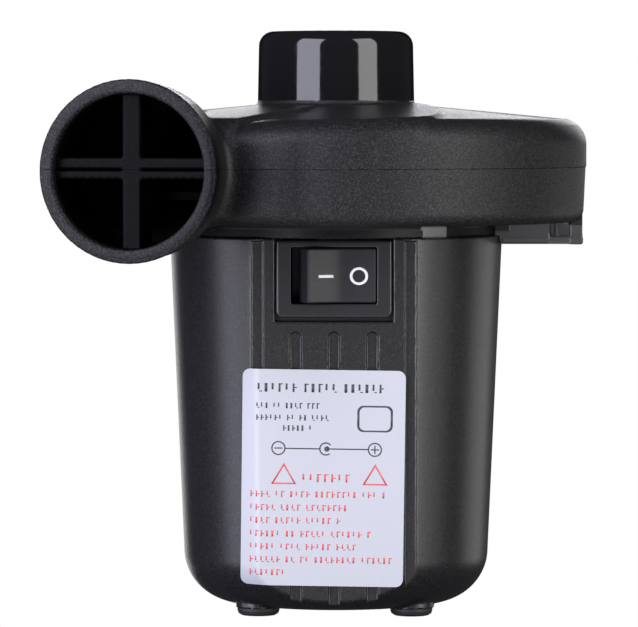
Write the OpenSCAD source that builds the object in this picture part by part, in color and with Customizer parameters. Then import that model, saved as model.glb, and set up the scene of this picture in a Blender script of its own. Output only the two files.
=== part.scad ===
// Small portable electric inflator for air mattresses: a centrifugal fan in a
// round two-piece scroll casing, driven from below by a can motor in a tapered
// cup-shaped housing. X points right, Y to the back and Z up, so the switch
// panel and the outlet face -Y. Heights are measured from the floor under the
// feet. The part's own origin lies on the motor axis, inside the straight wall
// of the intake neck, frame_height above the floor.

/* [Scroll casing] */
// Outer radius of the round scroll casing
scroll_r = 45.6; // [45:0.1:46]
// Sideways offset of the scroll casing from the motor axis
scroll_dx = 1.6; // [1.2:0.1:2]
// Wall thickness of the casing shells
wall = 2; // [1.8:0.1:2.2]
// Height of the underside of the scroll above the floor
scroll_z0 = 73.25; // [73.15:0.05:73.35]
// Height of the parting seam above the floor
seam_z = 83.6; // [83.4:0.1:83.8]
// Height of the roof where it meets the neck
roof_z = 95.35; // [95.15:0.05:95.55]

/* [Intake neck] */
// Outer radius of the intake neck
neck_r = 14.7; // [14.4:0.1:15]
// Radius of the intake opening
neck_bore_r = 11; // [10.6:0.1:11.2]
// Height of the neck's rim above the floor
neck_top = 109.15; // [108.75:0.05:109.55]

/* [Outlet pipe] */
// Outer radius of the outlet pipe
pipe_r = 16.25; // [16:0.05:16.4]
// Inner radius of the outlet pipe
pipe_bore_r = 14; // [13.8:0.05:14.1]
// Angle of the outlet pipe to the front direction
pipe_yaw = 12.5; // [11.5:0.5:13.5]
// Distance from the motor axis to the pipe axis, seen from above
pipe_off = 25.3; // [25:0.1:25.6]
// Distance along the pipe axis to the mouth
pipe_len = 55; // [54.6:0.1:55.4]

/* [Motor housing] */
// Outer radius of the housing at its top edge
cup_r_top = 31.25; // [31.15:0.05:31.35]
// Outer radius the housing taper reaches at its underside
cup_r_bot = 28.2; // [28.1:0.05:28.3]
// Height of the housing's top edge above the floor
cup_top = 70.8; // [70.7:0.05:70.85]
// Radius of the rounded bottom edge
cup_round = 9; // [8.5:0.5:9]
// Height of the housing's underside above the floor
cup_bot = 1.4; // [1.3:0.1:1.6]
// Width of the vertical flutes in the front panel
flute_w = 2.15; // [2:0.05:2.3]
// Distance between flutes
flute_pitch = 7.05; // [7:0.05:7.1]

/* [Rocker switch] */
// Width of the switch bezel
bezel_w = 21.3; // [21.1:0.1:21.4]
// Height of the switch bezel
bezel_h = 14.2; // [14:0.1:14.3]
// Angle the rocker swings between its two positions
rocker_swing = 24; // [22:1:24]

/* [Motor and fan] */
// Outer radius of the motor can
can_r = 13.85; // [13.7:0.05:14]
// Length of the motor can
can_len = 38; // [37:0.5:38]
// Radius of the motor shaft
shaft_r = 1.15; // [1:0.05:1.2]
// Outer radius of the fan wheel
fan_r = 33; // [32:0.5:33.5]
// Number of fan blades
fan_blades = 9; // [7:1:10]

/* [Hidden] */
$fn = 64;
frame_height = 100;              // floor to origin
seam_gap = 0.01;                 // each shell stops this far from the seam
fit = 0.02;                      // gap between touching parts
floor_z = scroll_z0 + wall;      // top of the scroll floor
scroll_dy = 1;                   // scroll centre behind the motor axis
panel_tilt = 2.8;                // forward lean of the flat front panel
panel_y = -26.65;                // panel plane at panel_z
panel_z = 41;
pocket_y = -26.0;                // floor of the switch pocket
switch_z = 63.95;                // height of the rocker's middle
bezel_low = 7.75;                // bezel below the rocker's middle
jack_y = 31;                     // back face of the jack pad
jack_z = 22;
can_top = scroll_z0;             // motor can hangs under the scroll floor
can_bot = can_top - can_len;

// Screw and foot places, seen from above. The first scroll screw is in the side lug.
scroll_points = [for (a = [0, 82, 158, 286])
  [scroll_dx, scroll_dy] + polar(a == 0 ? 41.8 : 39.6, a)];
lug_point = scroll_points[0];
housing_ring_r = 25.3;
housing_angles = [40, 140, 215, 325];
housing_points = [for (a = housing_angles) polar(housing_ring_r, a)];
motor_points = [[8, 0], [-8, 0]];
foot_points = [for (x = [-14.3, 14.3], y = [-14.3, 14.3]) [x, y]];
pilot_r = 1.15;                  // blind hole a screw bites into
screw_hole_r = 1.4;
screw_r = 1.1;

// ---- Helpers ----
function polar(radius, angle) = [radius * cos(angle), radius * sin(angle)];
// Points of an arc about centre, for a turned outline.
function arc(centre, radius, angles) = [for (a = angles) centre + polar(radius, a)];

module lift() translate([0, 0, -frame_height]) children();
module up(z) translate([0, 0, z]) children();
module at_each(points, z) for (p = points) translate([p[0], p[1], z]) children();
module around(count) for (i = [0 : count - 1]) rotate([0, 0, i * 360 / count]) children();
module both_sides() for (s = [-1, 1]) mirror([s < 0 ? 1 : 0, 0, 0]) children();
// Cutter for a central hole, starting 1 mm below the piece.
module bore(length, radius, facets = 48) up(-1) cylinder(h = length, r = radius, $fn = facets);

// ---- Outlet pipe ----
pipe_drop = 0.3;                 // pipe axis below the seam

// Frame of the outlet pipe: x runs along the pipe axis towards the mouth.
module pipe_frame() rotate([0, 0, 270 - pipe_yaw])
  translate([0, -pipe_off, seam_z - pipe_drop]) children();

module along(start, end, start_r, end_r) translate([start, 0, 0]) rotate([0, 90, 0])
  cylinder(h = end - start, r1 = start_r, r2 = end_r, $fn = 96);

// Straight mouth with a tapered root running into the casing.
module pipe_outer() pipe_frame() {
  along(45.5, pipe_len, pipe_r, pipe_r);
  along(6, 45.7, 9.6, pipe_r - 1);
}

module pipe_bore() pipe_frame() {
  along(44.5, pipe_len + 1, pipe_bore_r, pipe_bore_r);
  along(7, 44.6, 7.8, pipe_bore_r - 0.7);
}

// Block on one side of the seam; half is 1 above the seam, -1 below.
module seam_block(half, gap) translate([-80, -80, seam_z + (half > 0 ? gap : -30 - gap)])
  cube([160, 160, 30]);

module pipe_half(half) intersection() {
  pipe_outer();
  seam_block(half, seam_gap);
}

module rib(width, z, height) translate([44, -width / 2, z]) cube([12, width, height]);

// Cross ribs set back in the outlet mouth, one half of them.
module pipe_ribs(half) intersection() {
  pipe_frame() intersection() {
    along(44.6, pipe_len - 2.4, pipe_bore_r + 0.6, pipe_bore_r + 0.6);
    if (half > 0) {
      rib(3.6, pipe_drop + fit, 19.98);
      rib(40, pipe_drop + 0.15, 2.05);
    } else {
      rib(3.6, -20, 19.98 + pipe_drop);
      rib(40, pipe_drop - 1.75, 1.6);
    }
  }
  seam_block(half, fit);
}

// ---- Scroll casing ----
scroll_black = [0.10, 0.10, 0.11];
roof_slope = 0.095;              // fall of the roof per mm of radius
roof_round = 3.7;                // rounded top edge
floor_round = 2.2;               // rounded bottom edge
rim_round = 3.6;                 // rounded rim of the neck
grille_z = 98;
scroll_post_r = 3;
collar_r = 30.2;
spigot_r = 28.8;
cut_z = 60;                      // start of cuts up through the scroll floor

function roof_at(radius) = roof_z - roof_slope * (radius - neck_r);

module scroll_at() translate([scroll_dx, scroll_dy, 0]) children();

module scroll_hollow(z) scroll_at() up(z) cylinder(h = 30, r = scroll_r - wall, $fn = 128);

// Everything under the roof, which slopes gently outwards.
module roof_solid(drop) rotate_extrude($fn = 128)
  polygon([[0, 60], [60, 60], [60, roof_at(60) - drop], [0, roof_at(0) - drop]]);

module upper_blank() scroll_at() rotate_extrude($fn = 128) polygon(concat(
  [[0, seam_z + seam_gap], [scroll_r, seam_z + seam_gap]],
  arc([scroll_r - roof_round, roof_z - 6.5], roof_round, [0 : 15 : 90]),
  [[20, 97.5], [0, 97.5]]));

// Neck with a small flare at its foot and a rounded rim.
module neck() rotate_extrude($fn = 96) polygon(concat(
  [[0, 91], [neck_r + 1.2, 91], [neck_r + 1.2, roof_z - 0.2],
    [neck_r + 0.35, roof_z + 0.4], [neck_r, roof_z + 0.9]],
  arc([neck_r, neck_top] - [rim_round, rim_round], rim_round, [0 : 15 : 90]),
  [[0, neck_top]]));

// Spokes, hub disc and ring across the intake.
module grille() intersection() {
  up(grille_z) cylinder(h = 1.8, r = neck_bore_r + 0.5, $fn = 96);
  union() {
    for (a = [0 : 60 : 120]) rotate([0, 0, a]) translate([-20, -0.8, 90]) cube([40, 1.6, 20]);
    up(90) cylinder(h = 20, r = 3);
    difference() {
      up(90) cylinder(h = 20, r = 7.6);
      up(89) cylinder(h = 22, r = 6.2);
    }
  }
}

// Blind post that takes a casing screw.
module upper_post(height) difference() {
  up(seam_gap) cylinder(h = height, r = scroll_post_r);
  bore(7.5, pilot_r, 32);
}

module upper_scroll() lift() color(scroll_black) {
  difference() {
    union() {
      intersection() {
        upper_blank();
        roof_solid(0);
      }
      pipe_half(1);
      neck();
    }
    intersection() {
      scroll_hollow(seam_z - 1);
      roof_solid(wall);
    }
    pipe_bore();
    up(80) cylinder(h = 40, r = neck_bore_r, $fn = 96);
  }
  pipe_ribs(1);
  grille();
  for (p = scroll_points)
    translate([p[0], p[1], seam_z]) upper_post(p == lug_point ? 7.3 : 8.4);
}

module lower_blank() scroll_at() rotate_extrude($fn = 128) polygon(concat(
  [[0, scroll_z0]],
  arc([scroll_r - 0.6 - floor_round, scroll_z0 + floor_round], floor_round, [270 : 15 : 360]),
  [[scroll_r - 0.1, seam_z - seam_gap], [0, seam_z - seam_gap]]));

// Boxes of the lug on the right: corner, size.
lug_boxes = [
  [[26, -7, 69.15], [20.4, 14, 1.35]],     // floor plate
  [[44.1, -7, 69.8], [2.3, 14, 6]],        // outer wall
  [[28, 5.4, 69.8], [18, 1.6, 4.6]],       // back wall
  [[26, -7, 69.8], [14.2, 1.5, 1.9]],      // low front wall
  [[32.6, -7, 69.8], [7.6, 1.5, 4.6]],     // tall part of the front wall
  [[41.2, -6.2, 69.8], [0.9, 7, 4.6]]];    // web

module side_lug() {
  for (box = lug_boxes) translate(box[0]) cube(box[1]);
  at_each([lug_point], 69.8) cylinder(h = 5.6, r = 2.6);
}

// Holes for the motor's boss and for all the screws.
module floor_holes() {
  up(cut_z) cylinder(h = 30, r = 5.1, $fn = 48);
  at_each(concat(motor_points, housing_points, scroll_points), cut_z)
    cylinder(h = 30, r = screw_hole_r, $fn = 32);
  // room for the housing posts
  at_each(housing_points, cut_z) cylinder(h = scroll_z0 - cut_z, r = 3.1, $fn = 48);
  // counterbores for the casing screw heads
  for (p = scroll_points) translate([p[0], p[1], cut_z])
    cylinder(h = p == lug_point ? 10.6 : 15, r = 2.4, $fn = 32);
}

module lower_scroll() lift() color(scroll_black) {
  difference() {
    union() {
      lower_blank();
      pipe_half(-1);
      // collar seen as a recess between casing and housing, and its spigot
      up(cup_top) cylinder(h = 5, r = collar_r, $fn = 96);
      up(cup_top - 4) cylinder(h = 6, r = spigot_r, $fn = 96);
      side_lug();
    }
    up(cup_top - 5) cylinder(h = scroll_z0 - cup_top + 5, r = 27, $fn = 96);
    // clearance round the housing's top edge
    difference() {
      up(cut_z) cylinder(h = cup_top - cut_z, r = 31.6, $fn = 96);
      up(cut_z - 1) cylinder(h = 20, r = spigot_r, $fn = 96);
    }
    // room for the switch behind the front panel
    translate([-17, -40, cut_z]) cube([34, 24, cup_top - cut_z]);
    difference() {
      scroll_hollow(floor_z);
      // the screw posts are left standing up to the seam
      at_each(scroll_points, 70) cylinder(h = 13.99, r = scroll_post_r);
    }
    pipe_bore();
    floor_holes();
  }
  pipe_ribs(-1);
}

// ---- Motor housing ----
taper = (cup_r_top - cup_r_bot) / (cup_top - cup_bot);
post_z = cup_top - 16;           // lower end of the screw posts
flute_depth = 0.8;
flute_tops = [52.5, 68.85];      // the three middle flutes, the two outer ones

function cup_radius(z) = cup_r_bot + taper * (z - cup_bot);

// Cup outline: a tapered wall with a rounded bottom edge, shrunk by inset.
function cup_profile(inset) = let (
    round_z = cup_bot + cup_round,
    top_z = cup_top + (inset > 0 ? 1 : 0))
  concat([[0, cup_bot + inset]],
    arc([cup_radius(round_z) - cup_round, round_z], cup_round - inset, [-90 : 10 : 0]),
    [[cup_radius(cup_top) - inset, top_z], [0, top_z]]);

// Frame on the front panel, or inset behind it; y points into the housing.
module on_panel(inset = 0) translate([0, panel_y + inset, panel_z])
  rotate([panel_tilt, 0, 0]) children();

module panel_front(half_width, inset = 0) on_panel(inset)
  translate([-half_width, -30, -60]) cube([2 * half_width, 30, 120]);

// Groove up the panel with a round upper end.
module flute(x, top) on_panel() translate([x, 0, 0]) {
  translate([-flute_w / 2, -6, -45]) cube([flute_w, 6 + flute_depth, 45 + top - panel_z]);
  translate([0, flute_depth, top - panel_z]) rotate([90, 0, 0])
    cylinder(h = 6 + flute_depth, r = flute_w / 2, $fn = 48);
}

// Tapered shell, flat inside and out at the front panel.
module cup_shell() difference() {
  rotate_extrude($fn = 128) polygon(cup_profile(0));
  panel_front(14.1);
  difference() {
    rotate_extrude($fn = 128) polygon(cup_profile(wall));
    panel_front(30, wall + 0.9);
  }
}

// Posts for the housing screws, joined to the wall.
module housing_posts() {
  at_each(housing_points, post_z) cylinder(h = scroll_z0 - cup_top + 15.96, r = 2.8);
  for (a = housing_angles) rotate([0, 0, a])
    translate([housing_ring_r, -1, post_z]) cube([4.4, 2, 11.9]);
}

// Flat pad for the supply jack at the back.
module jack_pad() intersection() {
  translate([0, 24, jack_z]) rotate([-90, 0, 0]) cylinder(h = jack_y - 24, r = 8);
  translate([-10, 26.5, 0]) cube([20, 10, 60]);
}

// Switch pocket, open at the top edge, and the cut-out in its floor.
module switch_pocket() {
  translate([-bezel_w / 2 - 0.25, -40, switch_z - bezel_low - 0.75])
    cube([bezel_w + 0.5, 40 + pocket_y, 40]);
  translate([-9.6, -40, switch_z - 6.3]) cube([19.2, 30, 20]);
}

module motor_housing() lift() color([0.11, 0.11, 0.12]) difference() {
  union() {
    cup_shell();
    // pads the feet sit against
    at_each(foot_points, cup_bot) cylinder(h = 4, r = 4.2);
    housing_posts();
    jack_pad();
  }
  for (i = [-2 : 2]) flute(i * flute_pitch, flute_tops[abs(i) == 2 ? 1 : 0]);
  switch_pocket();
  translate([0, 20, jack_z]) rotate([-90, 0, 0]) cylinder(h = 20, r = 4.1, $fn = 48);
  at_each(foot_points, -1) cylinder(h = 12, r = 1.6, $fn = 32);
  at_each(housing_points, cup_top - 14) cylinder(h = 20, r = pilot_r, $fn = 32);
}

// Section of the label seen from above, x and y on the panel: back face from
// the right edge to the left, then the front face.
label_section = [
  [12.95, -0.06], [-13.9, -0.06], [-14.5, 0.24], [-15.5, 0.84], [-16.5, 1.46], [-17.05, 1.8],
  [-17.15, 1.68], [-16.6, 1.33], [-15.6, 0.71], [-14.6, 0.11], [-13.95, -0.21], [12.95, -0.22]];

// Thin sheet on the flat panel, its left edge bent back.
module rating_label() lift() color("white")
  on_panel() up(6.5 - panel_z) linear_extrude(height = 40.65) polygon(label_section);

// Turned outline of a foot with its plug: radius, height.
foot_profile = [
  [0, 0], [3.2, 0], [3.75, 0.35], [3.95, 0.9], [3.95, cup_bot - fit], [1.55, cup_bot - fit],
  [1.55, 6.2], [2.1, 6.6], [1.2, 8], [0, 8]];

module foot_pads() lift() color([0.06, 0.06, 0.06])
  at_each(foot_points, 0) rotate_extrude($fn = 48) polygon(foot_profile);

// ---- Screws ----
head_h = 1.3;
head_r = 2.2;

// Cross-slotted self-tapping screw along +Z with its head at the bottom.
module screw(length, head_r = head_r) {
  cylinder(h = length, r = screw_r, $fn = 32);
  difference() {
    up(-head_h) cylinder(h = head_h + 0.01, r = head_r, $fn = 48);
    up(-head_h - 0.1) for (a = [0, 90])
      rotate([0, 0, a]) translate([-1.3, -0.25, 0]) cube([2.6, 0.5, 0.9]);
  }
}

// Screws driven down through the scroll floor.
module floor_screws(points, length, head_r = head_r)
  at_each(points, floor_z + fit) mirror([0, 0, 1]) screw(length, head_r);

module scroll_screws() lift() color("dimgray") for (p = scroll_points) {
  z = p == lug_point ? 70.57 : 74.97;
  translate([p[0], p[1], z]) screw(seam_z + 5.5 - z);
}

module housing_screws() lift() color("dimgray") floor_screws(housing_points, 14);

// ---- Rocker switch ----
bezel_y = -27.9;                 // front of the bezel
bezel_round = 1.2;               // its rounded lower corners
pivot_y = -21.95;                // rocker pivot
seesaw_y = -19.05;               // pivot of the see-saw blade

module switch_at(y = 0) translate([0, y, switch_z]) children();

// Waste outside a rounded lower corner; side is -1 left, 1 right.
module corner_waste(side) translate([side * bezel_w / 2, -40, -bezel_low])
  rotate([-90, 0, 0]) difference() {
    translate([-bezel_round, -bezel_round, 0]) cube([2 * bezel_round, 2 * bezel_round, 30]);
    translate([-side * bezel_round, -bezel_round, -1])
      cylinder(h = 32, r = bezel_round, $fn = 32);
  }

// Switch shell: front bezel and hollow body behind it.
module switch_body() lift() color([0.09, 0.09, 0.10]) switch_at() difference() {
  union() {
    difference() {
      translate([-bezel_w / 2, bezel_y, -bezel_low])
        cube([bezel_w, pocket_y - bezel_y - fit, bezel_h]);
      for (side = [-1, 1]) corner_waste(side);
    }
    translate([-9.4, pocket_y - 0.1, -6.1]) cube([18.8, 9, 12.2]);
  }
  // well the rocker moves in
  translate([-7.9, -40, -5.2]) cube([15.8, 21.9, 10.4]);
  // pivot sockets in the long walls
  translate([0, pivot_y, -5.75]) cylinder(h = 11.5, r = 1.05, $fn = 48);
  // slots for the two terminals
  translate([-0.25, -19, -2.3]) cube([0.5, 3, 4.6]);
  translate([5.2, -19, -2.3]) cube([0.6, 3, 4.6]);
}

module rocker_at() switch_at(pivot_y) rotate([0, 0, rocker_swing / 2]) children();

// Along the rocker's stem, from y towards the back.
module stem_at(y) translate([0, y, 0]) rotate([-90, 0, 0]) children();

// Rocker with its stem, seen from above: x, y from the pivot.
rocker_section = [
  [-6.4, -7.2], [0, -5.6], [6.4, -7.2], [6.95, -4], [6.95, -1.6], [1.9, -1.6],
  [1.5, 1.3], [-1.5, 1.3], [-1.9, -1.6], [-6.95, -1.6], [-6.95, -4]];

module switch_rocker() lift() color([0.16, 0.16, 0.17]) rocker_at() difference() {
  union() {
    up(-5) linear_extrude(height = 10) polygon(rocker_section);
    up(-5.6) cylinder(h = 11.2, r = 1, $fn = 48);
  }
  // spring pocket in the stem
  stem_at(-4) cylinder(h = 8, r = 0.85, $fn = 32);
}

module switch_plunger() lift() color("silver") rocker_at() {
  stem_at(0.2) cylinder(h = 1.8, r = 0.78, $fn = 32);
  translate([0, 1.94, 0]) sphere(r = 0.76, $fn = 32);
}

module switch_spring() lift() color("lightsteelblue") rocker_at() stem_at(-3.9)
  linear_extrude(height = 4, twist = -360 * 5, slices = 90, $fn = 6)
    translate([0.58, 0]) circle(r = 0.15, $fn = 6);

// See-saw blade seen from above: x, y from its pivot.
seesaw_section = [
  [-5.6, -0.62], [-0.9, -0.1], [0.9, -0.1], [5.6, -0.62],
  [5.6, -0.32], [0.9, 0.15], [-0.9, 0.15], [-5.6, -0.32]];

// See-saw blade that rocks on the pivot terminal.
module switch_contact() lift() color("gold") switch_at(seesaw_y) rotate([0, 0, -10]) {
  up(-1.8) linear_extrude(height = 3.6) polygon(seesaw_section);
  up(-1.8) cylinder(h = 3.6, r = 0.2, $fn = 32);
}

module switch_pivot_terminal() lift() color("gold") switch_at()
  translate([-0.2, seesaw_y + 0.26, -2.2]) cube([0.4, 4.4, 4.4]);

module switch_fixed_terminal() lift() color("gold") switch_at()
  translate([5.25, -18.3, -2.2]) cube([0.5, 3.9, 4.4]);

// ---- Supply jack ----
jack_r = 4;                      // barrel through the housing
sleeve_r = 3;

// Frame of the jack: z runs from the back pad into the housing.
module jack_at() translate([0, jack_y, jack_z]) rotate([90, 0, 0]) children();

module jack_body() lift() color([0.08, 0.08, 0.08]) jack_at() difference() {
  union() {
    up(-1.6) cylinder(h = 1.58, r = 5.5, $fn = 64);
    up(-0.5) cylinder(h = 8.5, r = jack_r, $fn = 64);
    up(7.9) cylinder(h = 4, r = 3.6, $fn = 64);
  }
  up(-3) cylinder(h = 12.5, r = sleeve_r + 0.05, $fn = 64);
  // holes for the pin's tail and the tag
  up(8) cylinder(h = 8, r = 0.62, $fn = 32);
  translate([1.7, -0.9, 8]) cube([0.5, 1.8, 8]);
}

module jack_nut() lift() color("silver") jack_at() difference() {
  up(4.55) cylinder(h = 2, r = 6, $fn = 6);
  up(4) cylinder(h = 4, r = jack_r + 0.06, $fn = 64);
}

module jack_sleeve() lift() color("silver") jack_at() up(-1.5) difference() {
  cylinder(h = 10.9, r = sleeve_r, $fn = 64);
  bore(13, sleeve_r - 0.25, 64);
}

module jack_pin() lift() color("silver") jack_at() {
  up(0.2) cylinder(h = 9.28, r = 1.05, $fn = 48);
  up(9.3) cylinder(h = 4.7, r = 0.55, $fn = 32);
}

module jack_tags() lift() color("silver") jack_at()
  translate([1.78, -0.8, 9.52]) cube([0.34, 1.6, 4.4]);

// ---- Motor, fixed parts ----
bush_r = 3;
bush_seat_r = bush_r + fit;
commutator_z = can_bot + 2.6;    // lower end of the commutator
tag_x = 10.6;                    // middle of a motor tag
tag_w = 2.6;                     // width of tags and brush springs
strip_t = 0.3;                   // their thickness
spring_x = 5.92;                 // inner face of a brush spring

// Motor can, open at the bottom, with a boss round the front bearing.
module motor_can() lift() color("silver") difference() {
  union() {
    up(can_bot) cylinder(h = can_len - fit, r = can_r, $fn = 96);
    up(can_top - 1) cylinder(h = 3.4, r = 5, $fn = 64);
  }
  up(can_bot - 1) cylinder(h = can_len - 0.5, r = can_r - 1, $fn = 96);
  up(60) cylinder(h = 30, r = bush_seat_r, $fn = 48);
  at_each(motor_points, 60) cylinder(h = 30, r = pilot_r, $fn = 32);
}

module motor_magnets() lift() color([0.25, 0.25, 0.26]) up(can_bot + 9)
  for (a = [90, 270]) rotate([0, 0, a])
    rotate_extrude(angle = 120, start = -60, $fn = 96) translate([10.3, 0]) square([2.5, 24]);

// Plastic end cap with bearing boss; the brush gear sits on it.
module motor_end_cap() lift() color([0.85, 0.85, 0.80]) up(can_bot) difference() {
  union() {
    up(-1.8) cylinder(h = 1.78, r = can_r, $fn = 96);
    up(-0.5) cylinder(h = 2.5, r = can_r - 1.05, $fn = 96);
    up(-4.2) cylinder(h = 4, r = 4.4, $fn = 64);
  }
  up(-3.4) cylinder(h = 20, r = bush_seat_r, $fn = 48);
  // slots for the tags
  for (side = [-1, 1]) translate([side * tag_x - 0.3, -1.6, -6]) cube([0.6, 3.2, 12]);
}

module bush() difference() {
  cylinder(h = 3, r = bush_r, $fn = 48);
  bore(5, shaft_r + 0.03);
}

module front_bush() lift() color("goldenrod") up(can_top - 1) bush();

module rear_bush() lift() color("goldenrod") up(can_bot - 3.38) bush();

module brush_carbons() lift() color([0.2, 0.2, 0.2]) both_sides()
  up(commutator_z + 0.8) difference() {
    translate([3.0, -1.1, 0]) cube([2.9, 2.2, 2.6]);
    bore(5, 3.25);
  }

// Bridge-shaped strips from the carbons out to the tags.
module brush_springs() lift() color("gold") both_sides()
  translate([0, -tag_w / 2, commutator_z]) {
    translate([spring_x, 0, 0.4]) cube([strip_t, tag_w, 3.6]);
    translate([spring_x, 0, 3.6]) cube([4.9, tag_w, 0.4]);
    translate([tag_x - strip_t / 2, 0, -0.2]) cube([strip_t, tag_w, 4.1]);
  }

module motor_tags() lift() color("gold") both_sides()
  translate([tag_x - strip_t / 2, -tag_w / 2, can_bot - 5.6]) difference() {
    cube([strip_t, tag_w, 5.6 + 2.38]);
    translate([-1, tag_w / 2, 1.4]) rotate([0, 90, 0]) cylinder(h = 3, r = 0.6, $fn = 24);
  }

module capacitor_lead(length) cylinder(h = length, r = 0.25, $fn = 16);

// Disc in front of the end cap's boss, its leads bent back to the tags.
module noise_capacitor() lift() color("chocolate") {
  translate([-1.2, -8, can_bot - 3.9]) rotate([0, 90, 0]) cylinder(h = 2.4, r = 2, $fn = 48);
  both_sides() up(can_bot - 4.6) {
    translate([1, -8, 0]) rotate([0, 90, 0]) capacitor_lead(11.4);
    translate([12.2, -8.2, 0]) rotate([-90, 0, 0]) capacitor_lead(7.5);
    translate([12.25, -0.9, 0]) rotate([0, -90, 0]) capacitor_lead(1.46);
  }
}

module motor_screws() lift() color("gainsboro") floor_screws(motor_points, 4.6, 2);

// ---- Turning parts, all on the motor shaft ----
shaft_hole_r = shaft_r + 0.01;
core_z = can_bot + 12;           // lower end of the armature core
core_slots = 5;
slot_ring_r = 6.4;               // slot centres from the axis
fan_z = floor_z + 2.4;           // underside of the fan wheel
insert_r = 2.3;

module motor_shaft() lift() color("silver")
  up(can_bot - 3.3) cylinder(h = 58.3, r = shaft_r, $fn = 48);

module armature_core() lift() color([0.45, 0.45, 0.47]) up(core_z) difference() {
  cylinder(h = 18, r = 9.8, $fn = 96);
  bore(20, shaft_hole_r);
  around(core_slots) {
    translate([slot_ring_r, 0, -1]) cylinder(h = 20, r = 2.2, $fn = 32);
    translate([7, -0.6, -1]) cube([4, 1.2, 20]);
  }
}

// Windings in the slots and a ring of them at each end of the core.
module armature_coils() lift() color([0.72, 0.35, 0.16]) up(core_z) {
  around(core_slots) translate([slot_ring_r, 0, -2]) cylinder(h = 22, r = 2.05, $fn = 32);
  for (z = [-3.4, 18.05]) up(z) difference() {
    cylinder(h = 3.35, r = 8.6, $fn = 64);
    bore(6, 3);
  }
}

module commutator_base() lift() color([0.35, 0.12, 0.08]) up(commutator_z) difference() {
  cylinder(h = 5.6, r = 2.38, $fn = 48);
  bore(8, shaft_hole_r);
}

// Three curved bars, each with a short lug at its upper end.
module commutator_bars() lift() color([0.80, 0.45, 0.22]) up(commutator_z)
  around(3) rotate([0, 0, 30]) {
    rotate_extrude(angle = 112, start = 4, $fn = 64) translate([2.4, 0]) square([0.8, 5]);
    rotate_extrude(angle = 20, start = 50, $fn = 64) translate([2.9, 4.2]) square([1.9, 0.8]);
  }

module thrust_washers() lift() color("gainsboro")
  for (z = [can_bot + 0.9, can_top - 2.4]) up(z) difference() {
    cylinder(h = 0.8, r = 2.2, $fn = 48);
    bore(3, shaft_hole_r);
  }

module fan_blade() rotate_extrude(angle = 52, start = 128, $fn = 96)
  translate([19.4, 0]) square([1.2, 12.2]);

// Back plate with a stepped hub and curved blades.
module fan_wheel() lift() color([0.13, 0.13, 0.14]) up(fan_z) difference() {
  union() {
    cylinder(h = 1.4, r = fan_r, $fn = 128);
    cylinder(h = 9, r = 4.2, $fn = 64);
    cylinder(h = 5, r = 6.4, $fn = 64);
    intersection() {
      around(fan_blades) translate([30.2, 3, 0.6]) fan_blade();
      difference() {
        cylinder(h = 14, r = fan_r - 0.3, $fn = 128);
        bore(20, 11.6, 64);
      }
    }
  }
  bore(20, insert_r + fit);
}

module fan_hub_insert() lift() color("gold") up(fan_z + 0.4) difference() {
  cylinder(h = 8.2, r = insert_r, $fn = 48);
  bore(12, shaft_hole_r);
}

// ---- Wires ----
wire_r = 0.75;
bend_r = wire_r * 1.12;          // ball at each bend
wire_tag_z = can_bot - 4.2;      // where wires meet the motor tags

// Round insulated wire through a list of points.
module wire(points) {
  for (i = [0 : len(points) - 2]) {
    leg = points[i + 1] - points[i];
    length = norm(leg);
    translate(points[i]) rotate([0, acos(leg[2] / length), atan2(leg[1], leg[0])])
      cylinder(h = length, r = wire_r, $fn = 24);
  }
  for (i = [1 : len(points) - 2]) translate(points[i]) sphere(r = bend_r, $fn = 24);
}

// Fixed switch terminal to the jack's pin.
module wire_switch() lift() color("red") wire([[5.6, -16.1, switch_z], [16.6, -14.2, 60],
  [20.5, -6, 48], [19, 9, 38], [6, 15.5, 30], [0, 17.8, jack_z + 1.2]]);

// Pivot terminal to the left motor tag.
module wire_motor() lift() color("red") wire([[-0.1, -16.1, switch_z + 1.2], [-10, -16, 60],
  [-18.5, -7, 46], [-16.5, 1.5, 33], [-10.65, 0.3, wire_tag_z]]);

// Right motor tag to the jack's tag.
module wire_return() lift() color([0.05, 0.05, 0.05]) wire([[10.65, 0.4, wire_tag_z],
  [15, 8, 27], [7, 15.5, jack_z - 1.2], [2, 16.7, jack_z]]);

upper_scroll();
lower_scroll();
motor_housing();
rating_label();
foot_pads();
scroll_screws();
housing_screws();
switch_body();
switch_rocker();
switch_plunger();
switch_spring();
switch_contact();
switch_pivot_terminal();
switch_fixed_terminal();
jack_body();
jack_nut();
jack_sleeve();
jack_pin();
jack_tags();
motor_can();
motor_magnets();
motor_end_cap();
front_bush();
rear_bush();
brush_carbons();
brush_springs();
motor_tags();
noise_capacitor();
motor_screws();
motor_shaft();
armature_core();
armature_coils();
commutator_base();
commutator_bars();
thrust_washers();
fan_wheel();
fan_hub_insert();
wire_switch();
wire_motor();
wire_return();
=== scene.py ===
"""Small centrifugal blower: a scroll casing in two halves on a round motor housing.

The blower stands upright on four feet. +Z is up and the front faces -Y. The outlet pipe
points to the front, on the left (-X); the intake neck is on top, around the Z axis. The
housing has a flat front panel with a label, flutes and a rocker switch.
Shapes are signed distances in millimetres measured from the floor, negative inside.
"""
import math
from functools import reduce

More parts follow.
